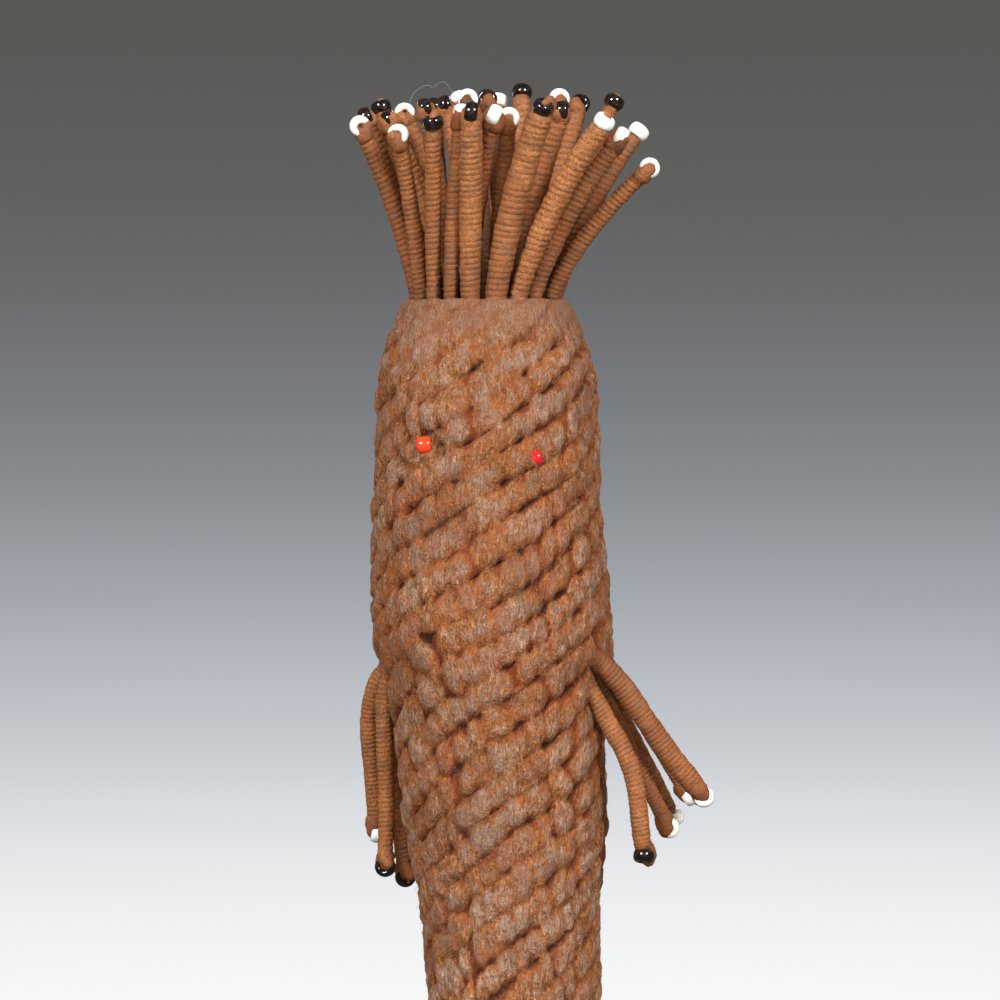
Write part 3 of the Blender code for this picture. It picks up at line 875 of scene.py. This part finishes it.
def roughen(piece, amount, size, seed):  # lumps as on fibre pushed together by hand
    places = points(piece)
    normals = np.empty(places.size)
    piece.data.vertices.foreach_get("normal", normals)
    lumps = cloudsAt(places, size, seed) + 0.5 * cloudsAt(places, size / 2, seed + 1)
    setPoints(piece, places + normals.reshape(-1, 3) * (amount * lumps)[:, None])


def makeCord(names, patterns, route, radii, tone, beadColour, lies, fused, draw, seed):
    (name, beadName), (winding, seedBead) = names, patterns
    cord = copyOf(winding, name)
    lay(cord, route, radii, tone, seed)
    tidyMesh(cord, 2e-6)
    tip = Vector(route[-1])
    up = (tip - Vector(route[-4])).normalized()
    hole = holeDirection(lies, up)
    reach = bead["half"] if lies == "flat" else bead["radius"]
    centre = tip + up * (reach - bead["overlap"] if fused else reach + cords["gap"])
    lean = Vector((draw.uniform(-1, 1), draw.uniform(-1, 1), draw.uniform(-1, 1))) * bead["tilt"]
    hole = (hole + lean).normalized()
    ring = placeBead(seedBead, beadName, centre, hole)
    glass = beadColour + "_glass"
    finishPiece(ring, finishes[glass], glass, *([] if fused else [beadName]))
    strands = strandTubes(name + "_strands", cheeks(tip, up, centre, hole, lies, radii[-1], draw), 3)
    knob = makeKnob(name + "_knob", tip, up, radii[-1], seed)
    for extra in (strands, knob):
        roughen(extra, bead["rough"], bead["roughSize"], seed)
        store(extra, tone=tone, share=1.0, hollow=0.5)
    join(cord, strands, knob)
    finishPiece(cord, finishes["cord"], "wrapped_cord", name)
    return cord


def hairRoute(ring, degrees, right, back, up):
    outer = body["crown"] - cords["plump"] - cords["edgeMargin"]
    shares = {"outer": 1, "inner": cords["innerShare"], "middle": cords["middleShare"]}
    root = around(degrees, outer * shares[ring], body["height"])
    rise = root + Vector((0, 0, cords["hairRoot"]))
    lean = Vector((right, back, up)) * millimetre
    bend = rise + Vector((0.3 * lean.x, 0.3 * lean.y, 0.5 * lean.z))
    tip = root + lean
    route = [root - Vector((cords["sunkLean"] * lean.x, cords["sunkLean"] * lean.y, cords["sunk"]))]
    for step in range(cords["hairSteps"] + 1):
        t = step / cords["hairSteps"]
        route.append(rise.lerp(bend, t).lerp(bend.lerp(tip, t), t))
    return route


def makeHair(patterns):
    draw = np.random.default_rng(cords["hairSeed"])
    made = []
    for i, (ring, degrees, right, back, up, girth, beadColour, lies) in enumerate(hair):
        names = (f"hair_cord_{i + 1:02d}", f"hair_bead_{i + 1:02d}")
        radii = [cords[girth] * part for part in cords["hairGirths"]]
        route = hairRoute(ring, degrees, right, back, up)
        made.append(makeCord(names, patterns, route, radii, draw.uniform(-1, 1), beadColour, lies,
                             i >= separateBeads, draw, i + 1))
    print("hair:", len(hair), "cords")
    return made


def makeArms(patterns):
    draw = np.random.default_rng(cords["armSeed"])
    made = []
    count = {"right": 0, "left": 0}
    for i, (side, degrees, share, girth, beadColour, lies, stops) in enumerate(arms):
        count[side] += 1
        names = (f"{side}_arm_cord_{count[side]}", f"{side}_arm_bead_{count[side]}")
        height = share * body["height"]
        root = around(degrees, radiusAt(height) - cords["armRootIn"], height)
        first = Vector(stops[0]) * millimetre
        outward = (first + Vector((0.5 * first.x, 0.5 * first.y, 0))).normalized()
        places = [root - cords["socket"] * outward, root]
        places += [root + Vector(stop) * millimetre for stop in stops]
        radii = [cords[girth] * part for part in cords["armGirths"]]
        made.append(makeCord(names, patterns, smoothRoute(places, cords["armSteps"]), radii,
                             draw.uniform(-0.5, 1), beadColour, lies, False, draw, 40 + i))
    print("arms:", len(arms), "cords")
    return made


eyes = [  # node, degrees from the front, height share, how deep it is sunk, glass
    ("left_eye_bead", -33.8, 0.8795, 0.0006, "orange_red_glass"),
    ("right_eye_bead", 26.6, 0.869, 0.0013, "crimson_glass"),
]


def makeEyes(seedBead):
    for name, degrees, share, sunk, glass in eyes:
        height = share * body["height"]
        surface = radiusAt(height)
        middle = around(degrees, surface - sunk, height)
        bearing = math.radians(degrees * bead["eyeTurn"])
        across = Vector((math.cos(bearing), math.sin(bearing), bead["eyeRise"])).normalized()
        size = (bead["eyeRadius"] / bead["radius"], bead["eyeHalf"] / bead["half"])
        finishPiece(placeBead(seedBead, name, middle, across, size), finishes[glass], glass, name)
        axis = Vector((float(axisX(height)), 0, height))
        inward = (axis - around(degrees, surface, height)).normalized() * bead["stitchIn"]
        ends = [middle + across * side * bead["eyeHalf"] for side in (-1, 0, 1)]
        out = across * bead["stitchOut"]
        stitch = smoothRoute([ends[0] - out + inward, *ends, ends[2] + out + inward], bead["steps"])
        route = [(place, bead["stitch"]) for place in stitch]
        thread = strandTubes(name.replace("bead", "stitch"), [route], 2)
        store(thread, tone=0.3, share=1.0, hollow=0.5)
        finishPiece(thread, finishes["cord"], "wrapped_cord")
    print("eyes:", len(eyes))


# Loose fibre: strands that hug the knots, finer ones that stand off, and one long pale hair.
fuzz = {
    "hugging": 6400, "hugThick": 0.000050, "hugStep": 0.00055, "hugPoints": 4, "hugOff": 0.00002,
    "hugRise": 0.00014, "hugLean": (0.08, 0.5), "hugBend": 0.25, "seed": 23,
    "standing": 1700, "onCords": 40, "standThick": 0.000026, "standStep": 0.00045, "standPoints": 4,
    "standScatter": 0.6, "standBend": 0.35, "underRim": 0.0008,
    "hair": [  # right, back and up from the middle of the crown's plane, in millimetres
        (-18.9, -8.0, 32.6), (-18.9, -8.0, 34.3), (-18.5, -7.8, 35.7), (-17.6, -7.8, 36.8),
        (-16.4, -7.6, 37.5), (-15.3, -7.4, 37.6), (-14.8, -7.4, 37.3), (-13.7, -7.2, 38.1),
        (-12.6, -7.0, 38.2), (-11.9, -6.8, 37.3), (-11.2, -6.6, 36.4), (-10.4, -6.4, 35.5)],
    "hairThick": 0.000025, "hairShade": 2.0,
}


def huggingRoute(skin, start, draw):  # a strand that keeps to the surface, roughly upwards
    place, normal, _, _ = skin.find_nearest(Vector(start))
    turn, bend = draw.normal(*fuzz["hugLean"]), draw.normal(0, fuzz["hugBend"])
    thick = fuzz["hugThick"] * draw.uniform(0.6, 1.3)
    route = []
    for step in range(fuzz["hugPoints"]):
        atEnd = step in (0, fuzz["hugPoints"] - 1)
        lift = fuzz["hugOff"] + (fuzz["hugRise"] * draw.random() if atEnd else 0.0)
        route.append((place + normal * lift, thick * (0.4 if atEnd else 1.0)))
        up = (Vector((0, 0, 1)) - normal * normal.z).normalized()
        way = up * math.cos(turn) + normal.cross(up) * math.sin(turn)
        turn += bend
        place, normal, _, _ = skin.find_nearest(place + way * fuzz["hugStep"] * draw.uniform(0.7, 1.2))
    return route


def standingRoute(place, normal, draw):
    outward = normal * draw.uniform(0.15, 0.8)
    heading = (outward + Vector(draw.normal(0, fuzz["standScatter"], 3))).normalized()
    route = []
    for step in range(fuzz["standPoints"]):
        route.append((place.copy(), fuzz["standThick"] * (1 - 0.25 * step)))
        place = place + heading * fuzz["standStep"] * draw.uniform(0.6, 1.3)
        heading = (heading + Vector(draw.normal(0, fuzz["standBend"], 3))).normalized()
    return route


def shadeStrands(piece, routes, shades):  # one shade to a strand; a tube's points follow its route's
    ringsOf = np.array([len(route) for route in routes])
    perRing = len(piece.data.vertices) / ringsOf.sum()
    counts = np.rint(ringsOf * perRing).astype(int)
    store(piece, shade=np.repeat(shades, counts)[:len(piece.data.vertices)])


def makeFuzz(binding, cordPieces):
    draw = np.random.default_rng(fuzz["seed"])
    places = points(binding)
    rim = body["height"] - fuzz["underRim"]
    usable = np.flatnonzero((places[:, 2] > knots["plainTo"]) & (places[:, 2] < rim))
    polygons = [tuple(polygon.vertices) for polygon in binding.data.polygons]
    skin = BVHTree.FromPolygons([Vector(place) for place in places], polygons)
    routes = [huggingRoute(skin, places[start], draw) for start in draw.choice(usable, fuzz["hugging"])]
    hugging = strandTubes("surface_fibres", routes, 0)
    shadeStrands(hugging, routes, draw.random(len(routes)))
    finishPiece(hugging, finishes["fibres"], "knotted_cord")
    routes = []
    for piece in (binding, *cordPieces):
        count = fuzz["standing" if piece is binding else "onCords"]
        for start in draw.integers(0, len(piece.data.vertices), count):
            vertex = piece.data.vertices[int(start)]
            routes.append(standingRoute(vertex.co.copy(), vertex.normal.copy(), draw))
    shades = list(draw.uniform(0.5, 1.0, len(routes)))
    stops = [Vector(stop) * millimetre + Vector((0, 0, body["height"])) for stop in fuzz["hair"]]
    routes.append([(place, fuzz["hairThick"]) for place in smoothRoute(stops, 4)])
    loose = strandTubes("loose_fibres", routes, 0)
    shadeStrands(loose, routes, np.array([*shades, fuzz["hairShade"]]))
    finishPiece(loose, finishes["fibres"], "wrapped_cord")
    print("fibres:", len(hugging.data.polygons) + len(loose.data.polygons), "faces")


# Finishes: noise sizes are in millimetres, and a layer hides what is below it by its mask.
tints = {
    "knots": {
        "shade": colour(112, 56, 24), "thread": colour(198, 136, 84), "orange": colour(184, 100, 44),
        "dustShade": colour(148, 108, 86), "dust": colour(198, 166, 142), "rust": colour(164, 72, 28),
        "seam": colour(140, 60, 27), "pit": colour(52, 22, 9), "line": colour(52, 24, 11),
        "soil": colour(92, 56, 36), "crown": colour(152, 104, 74), "speck": colour(226, 204, 178),
    },
    "coil": {
        "shade": colour(96, 48, 22), "thread": colour(186, 126, 76), "dust": colour(150, 116, 94),
        "between": colour(52, 24, 12),
    },
    "cord": {
        "shade": colour(108, 56, 27), "thread": colour(190, 126, 72), "brown": colour(126, 66, 28),
        "grime": colour(118, 80, 54), "root": colour(52, 25, 13), "groove": colour(62, 26, 11),
    },
    "fibres": {"shade": colour(96, 44, 18), "thread": colour(182, 124, 80), "hair": colour(150, 147, 142)},
    "smear": colour(128, 84, 56),
}
glasses = {  # colour and roughness
    "white_glass": (colour(248, 246, 238), 0.12), "black_glass": (colour(9, 9, 10), 0.07),
    "orange_red_glass": (colour(226, 62, 22), 0.14), "crimson_glass": (colour(196, 20, 26), 0.14),
}


def knotFinish():
    tint = tints["knots"]
    fibre = Finish("ochred_knots")
    hollow, tone, rust, worn, crown, seam, cleft = [
        fibre.own(name) for name in ("hollow", "tone", "rust", "worn", "crown", "seam", "cleft")]
    broad = fibre.clouds(8.0)
    patch = fibre.clouds(1.7, 4.0, 0.65)
    blotch = fibre.clouds(3.2, 3.0, 0.6)
    strands = fibre.clouds(0.68, 3.0, 0.75, (1, 1, 0.24), (0.10, 0.14, 0), 1.4)
    finer = fibre.clouds(0.30, 2.0, 0.65, (1, 1, 0.32), (-0.25, -0.2, 0), 0.8)
    grain = fibre.clouds(0.42, 3.0, 0.7)
    z = fibre.axes()[2]
    lower = (z * -1).between(-0.160, -0.100)  # paler low down: painted light thrown back by the floor, which also lightens the painted shade there
    upper = z.between(0.160, 0.190)  # dustier on the head
    threads = (strands * 0.55 + finer * 0.33 + grain * 0.12 + lower * 0.022).between(0.41, 0.60)
    dust = fibre.mix(threads, tint["dustShade"], tint["dust"])
    # pale on the lobes' tops: partly rubbed dust, partly a painted sheen where light catches them
    rubbedAndSheen = crown.between(0.28, 0.84) * 0.8 + patch.between(0.43, 0.58) * 0.8
    rubbedAndSheen = rubbedAndSheen + broad.between(0.36, 0.66) * 0.3 + tone * 0.30 - 0.88
    rubbedAndSheen = rubbedAndSheen * (1 - hollow.between(0.15, 0.45))
    # darker and redder between the lobes, away from their tops: partly red ochre, partly painted shade
    between = (seam + (grain - 0.5) * 1.2 + (patch - 0.5) * 0.6).between(0.35, 0.85)
    # painted shade in the crevices: dark where the surface lies deep below the knots' tops
    edge = (hollow + (finer - 0.5) * 0.6 + (patch - 0.5) * 0.8).between(0.46, 0.68)
    # painted shadow: a thin dark line along the cleft between two ridges
    line = ((0.5 - patch) * 0.5 + (0.5 - broad) * 0.9 + 0.06 - cleft).between(0.0, 0.12)
    painted = fibre.layered(
        fibre.mix(threads, tint["shade"], tint["thread"]),
        (blotch.between(0.40, 0.62) * 0.55, tint["orange"]),
        ((rubbedAndSheen + worn * 0.30 + lower * 0.16 + upper * 0.11).clamped() * 0.9, dust),
        ((rust.between(0.25, 1.3) * patch.between(0.40, 0.62) * 0.55).clamped(), tint["rust"]),
        (between * (0.88 - lower * 0.2), tint["seam"]),
        (edge * (0.86 - lower * 0.3), tint["pit"]),
        (line * (0.72 - lower * 0.3), tint["line"]),
        (fibre.clouds(13.0, 4.0).between(0.50, 0.68) * patch.between(0.35, 0.6) * 0.5, tint["soil"]),
        (worn * 0.5, tint["crown"]),
        (fibre.clouds(0.48, 1.0).between(0.755, 0.775) * 0.8, tint["speck"]))
    relief = fibre.bump(threads * 0.7 + grain * 0.8 + patch * 0.9, 0.0006, 1.0)
    return fibre.shade(Base_Color=painted, Roughness=finer.between(0.2, 0.9) * 0.25 + 0.55, Normal=relief,
                       Specular_IOR_Level=0.3)


def coilFinish():
    tint = tints["coil"]
    coil = Finish("coiled_fibre")
    hollow = coil.own("hollow")
    strands = coil.clouds(0.5, 3.0, 0.65, (1, 1, 0.3), (0.1, 0.1, 0), 0.8)
    patch = coil.clouds(3.5, 4.0, 0.6)
    painted = coil.layered(
        coil.mix(strands.between(0.38, 0.62), tint["shade"], tint["thread"]),
        (patch.between(0.44, 0.62) * 0.6, tint["dust"]),
        # painted shade in the hollows between the rounds and in the strand grooves
        ((hollow ** 1.6 + (strands - 0.5) * 0.5 * hollow).clamped(), tint["between"]))
    relief = coil.bump(strands + patch * 0.5, 0.0003, 0.6)
    return coil.shade(Base_Color=painted, Roughness=0.8, Normal=relief, Specular_IOR_Level=0.3)


def cordFinish():
    tint = tints["cord"]
    cord = Finish("wound_thread")
    hollow, tone, share = [cord.own(name) for name in ("hollow", "tone", "share")]
    streak = cord.clouds(0.45, 3.0, 0.6)
    patch = cord.clouds(2.6, 4.0, 0.6)
    broad = cord.clouds(9.0, 2.0)
    grain = cord.clouds(0.24, 3.0, 0.7)
    fibres = (streak * 0.55 + grain * 0.45).between(0.34, 0.66)
    x, y, _ = cord.axes()
    x = x - float(axisX(body["height"]))
    paintedHairShade = 1 - ((x * x + y * y) ** 0.5).between(0.0080, 0.0115)  # painted shade in the middle of the hair, where the cords shade one another
    # painted shade in the grooves between the thread's turns, less where the fibre is matted
    deep = (hollow ** 1.7) * (grain.between(0.3, 0.7) * 0.25 + patch.between(0.40, 0.56) * 0.30 + 0.22)
    painted = cord.layered(
        cord.mix(fibres, tint["shade"], tint["thread"]),
        ((tone * 0.4 + broad.between(0.3, 0.7) * 0.6).clamped(), tint["brown"]),
        ((patch + tone * 0.05).between(0.48, 0.62) * 0.62, tint["grime"]),
        # painted shade: darker towards each cord's root, where it goes into the body, and in the middle of
        # the hair
        (((0.35 - share).between(0.0, 0.35) * 0.35 + paintedHairShade * 0.65).clamped(), tint["root"]),
        (deep.clamped(), tint["groove"]))
    relief = cord.bump(streak + grain * 0.6 + patch * 0.4, 0.0003, 0.7)
    return cord.shade(Base_Color=painted, Roughness=0.62, Normal=relief, Specular_IOR_Level=0.35)


def fibreFinish():
    tint = tints["fibres"]
    loose = Finish("loose_fibre")
    shade = loose.own("shade")
    lit = (shade * 0.5 + loose.clouds(2.2).between(0.35, 0.65) * 0.6 - 0.1).clamped()
    tan = loose.mix(lit, tint["shade"], tint["thread"])
    pale = loose.mix(shade.between(1.2, 1.8), tan, tint["hair"])
    return loose.shade(Base_Color=pale, Roughness=0.6, Specular_IOR_Level=0.4)


def glassFinish(name):
    rgb, roughness = glasses[name]
    glass = Finish(name)
    smear = glass.clouds(0.8)
    tinted = glass.mix(smear.between(0.45, 0.8) * 0.22, rgb, tints["smear"])
    return glass.shade(Base_Color=tinted, Roughness=smear.between(0.4, 0.8) * 0.2 + roughness,
                       Specular_IOR_Level=0.5, Coat_Weight=0.5, Coat_Roughness=0.05)


bpy.context.scene.view_settings.view_transform = "Standard"
makeCamera()
makeSweep()
makeLights()
print("stage:", len(lights["lamps"]), "lamps")
finishes = {"knots": knotFinish(), "coil": coilFinish(), "cord": cordFinish(), "fibres": fibreFinish()}
finishes.update({name: glassFinish(name) for name in glasses})
print("finishes:", len(finishes))
binding = makeBinding()
makeFoot()
hairWinding, armWinding = makeWinding(cords["hairTurns"]), makeWinding(cords["armTurns"])
seedBead = makeBead()
cordPieces = makeHair((hairWinding, seedBead)) + makeArms((armWinding, seedBead))
makeEyes(seedBead)
makeFuzz(binding, cordPieces)
for pattern in (hairWinding, armWinding, seedBead):
    bpy.data.objects.remove(pattern, do_unlink=True)
